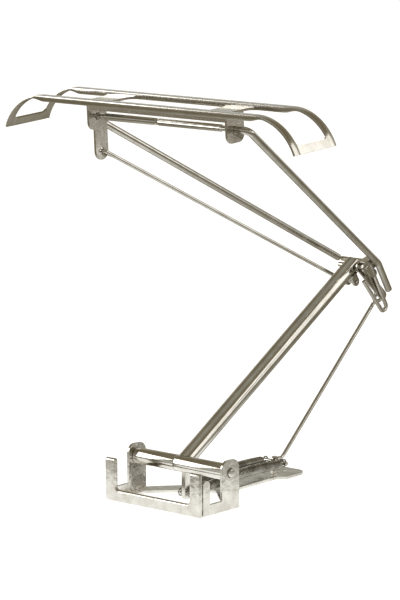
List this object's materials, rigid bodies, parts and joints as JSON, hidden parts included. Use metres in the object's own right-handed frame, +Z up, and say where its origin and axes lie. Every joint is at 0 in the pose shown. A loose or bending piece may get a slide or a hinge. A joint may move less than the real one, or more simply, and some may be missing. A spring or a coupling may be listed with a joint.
{
  "type": "model railway pantograph",
  "caption": "Single-arm current collector for a large-scale model locomotive: sprung lower arm, wire upper arm and a self-levelling two-strip head on a stamped base.",
  "frame": {"origin": "centre of the mounting screw hole at the underside of the base", "axes": "+X across the track, +Y along it from the wide end of the base to the screw lug, +Z up"},
  "size_m": [0.0612, 0.0608, 0.066],
  "materials": {
    "sheet_nickel": "nickel plated stamping, tumbled edges",
    "head_nickel": "nickel plated stamping, satin",
    "tube_nickel": "bright nickel plated tube and pins",
    "wire_nickel": "bright nickel plated wire",
    "spring_steel": "close-wound spring wire, dull nickel"
  },
  "bodies": {
    "base": {"base_frame": "sheet_nickel", "pivot_pin": "tube_nickel", "spacer_tube": "tube_nickel", "anchor_pin": "tube_nickel"},
    "lower_arm": {"hub_tube": "tube_nickel", "lower_arm_tube": "tube_nickel", "spring_lever": "sheet_nickel", "spring_lever_pin": "tube_nickel", "levelling_clevis": "sheet_nickel"},
    "upper_arm": {"left_arm_wire": "wire_nickel", "right_arm_wire": "wire_nickel", "elbow_cross_bar": "tube_nickel", "elbow_bracket": "sheet_nickel", "elbow_axle": "tube_nickel", "tail_hairpin": "wire_nickel", "tail_pin": "tube_nickel"},
    "head": {"head_plate": "head_nickel", "head_carrier": "head_nickel"},
    "coupling_rod": {"coupling_rod": "wire_nickel"},
    "levelling_rod": {"levelling_rod": "wire_nickel"},
    "springs": {"left_spring": "spring_steel", "right_spring": "spring_steel", "left_spring_rear_hook": "spring_steel", "right_spring_rear_hook": "spring_steel"},
    "spring_hooks": {"left_spring_front_hook": "spring_steel", "right_spring_front_hook": "spring_steel"}
  },
  "joints": [
    {"name": "lower_arm_pivot", "type": "hinge", "parent": "base", "child": "lower_arm", "pos_m": [0, -0.026, 0.0062], "axis": [-1, 0, 0], "range_deg": [0, 25], "stiffness_Nm_per_rad": 0.006, "springref_deg": -57.3},
    {"name": "elbow", "type": "hinge", "parent": "lower_arm", "child": "upper_arm", "pos_m": [0, 0.018, 0.0332], "axis": [1, 0, 0], "range_deg": [-1, 51]},
    {"name": "head_tilt", "type": "hinge", "parent": "upper_arm", "child": "head", "pos_m": [0, -0.0297, 0.0622], "axis": [1, 0, 0], "range_deg": [-26, 1]},
    {"name": "coupling_rod_pivot", "type": "hinge", "parent": "base", "child": "coupling_rod", "pos_m": [0, -0.0026, 0.00245], "axis": [1, 0, 0], "range_deg": [-33.75, 1]},
    {"name": "levelling_rod_pivot", "type": "hinge", "parent": "lower_arm", "child": "levelling_rod", "pos_m": [0, 0.01825, 0.03045], "axis": [1, 0, 0], "range_deg": [-1, 52.25]},
    {"name": "spring_swing", "type": "hinge", "parent": "base", "child": "springs", "pos_m": [0, -0.0026, 0.00245], "axis": [1, 0, 0], "range_deg": [-3, 3]},
    {"name": "spring_stretch", "type": "slide", "parent": "springs", "child": "spring_hooks", "axis": [0, -0.999, -0.0454], "range_m": [-0.0002, 0.00225], "deforming": ["left_spring", "right_spring"]}
  ],
  "couplings": [
    {"joint": "elbow", "follows": "lower_arm_pivot", "ratio": 2},
    {"joint": "head_tilt", "follows": "lower_arm_pivot", "ratio": -1},
    {"joint": "coupling_rod_pivot", "follows": "lower_arm_pivot", "ratio": -1.2865},
    {"joint": "levelling_rod_pivot", "follows": "lower_arm_pivot", "ratio": 2.025},
    {"joint": "spring_swing", "follows": "lower_arm_pivot", "ratio": -0.03788},
    {"joint": "spring_stretch", "follows": "lower_arm_pivot", "m_per_rad": 0.004683}
  ]
}
